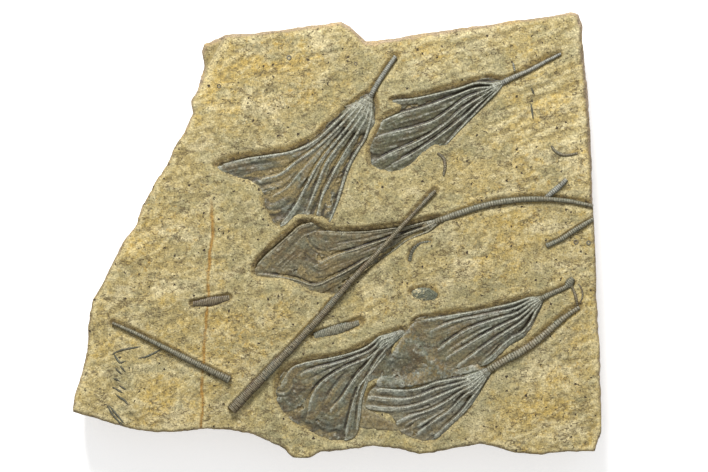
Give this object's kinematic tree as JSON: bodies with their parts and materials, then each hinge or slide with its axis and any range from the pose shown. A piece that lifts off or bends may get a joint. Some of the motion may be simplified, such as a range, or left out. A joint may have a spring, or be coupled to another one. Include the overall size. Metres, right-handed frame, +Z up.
{
  "type": "crinoid fossil slab",
  "caption": "Broken limestone slab with fossil sea lilies, their stems, cups and feathery arms in relief, and loose stem pieces between them.",
  "frame": {"origin": "on the flat underside, below the middle of the slab's outline", "axes": "+X along the slab's longer side, towards the end where the stems start, +Y towards the side with the broken ledge, +Z up out of the face with the fossils"},
  "size_m": [0.2994, 0.2528, 0.0333],
  "materials": {
    "limestone": "matte",
    "cup_calcite": "matte",
    "arm_calcite": "matte",
    "pinnule_calcite": "matte",
    "stem_calcite": "matte",
    "shell_calcite": "matte"
  },
  "bodies": {
    "root": {"slab": "limestone", "upper_left_stem": "stem_calcite", "upper_left_cup": "cup_calcite", "upper_left_arm_1": "arm_calcite", "upper_left_arm_2": "arm_calcite", "upper_left_arm_3": "arm_calcite", "upper_left_arm_4": "arm_calcite", "upper_left_arm_5": "arm_calcite", "upper_left_arm_6": "arm_calcite", "upper_left_pinnules": "pinnule_calcite", "upper_right_stem": "stem_calcite", "upper_right_cup": "cup_calcite", "upper_right_arm_1": "arm_calcite", "upper_right_arm_2": "arm_calcite", "upper_right_arm_3": "arm_calcite", "upper_right_arm_4": "arm_calcite", "upper_right_arm_5": "arm_calcite", "upper_right_arm_6": "arm_calcite", "upper_right_pinnules": "pinnule_calcite", "middle_stem": "stem_calcite", "middle_cup": "cup_calcite", "middle_arm_1": "arm_calcite", "middle_arm_2": "arm_calcite", "middle_arm_3": "arm_calcite", "middle_arm_4": "arm_calcite", "middle_arm_5": "arm_calcite", "middle_pinnules": "pinnule_calcite", "right_stem": "stem_calcite", "right_cup": "cup_calcite", "right_arm_1": "arm_calcite", "right_arm_2": "arm_calcite", "right_arm_3": "arm_calcite", "right_arm_4": "arm_calcite", "right_arm_5": "arm_calcite", "right_arm_6": "arm_calcite", "right_pinnules": "pinnule_calcite", "lower_left_cup": "cup_calcite", "lower_left_arm_1": "arm_calcite", "lower_left_arm_2": "arm_calcite", "lower_left_arm_3": "arm_calcite", "lower_left_arm_4": "arm_calcite", "lower_left_arm_5": "arm_calcite", "lower_left_arm_6": "arm_calcite", "lower_left_pinnules": "pinnule_calcite", "lower_middle_stem": "stem_calcite", "lower_middle_cup": "cup_calcite", "lower_middle_arm_1": "arm_calcite", "lower_middle_arm_2": "arm_calcite", "lower_middle_arm_3": "arm_calcite", "lower_middle_arm_4": "arm_calcite", "lower_middle_arm_5": "arm_calcite", "lower_middle_arm_6": "arm_calcite", "lower_middle_pinnules": "pinnule_calcite", "long_loose_stem": "stem_calcite", "left_loose_stem": "stem_calcite", "edge_loose_stem": "stem_calcite", "curled_stem_tip": "stem_calcite", "flattened_stem_left": "stem_calcite", "flattened_stem_right": "stem_calcite", "shell_fragment": "shell_calcite"}
  },
  "joints": []
}
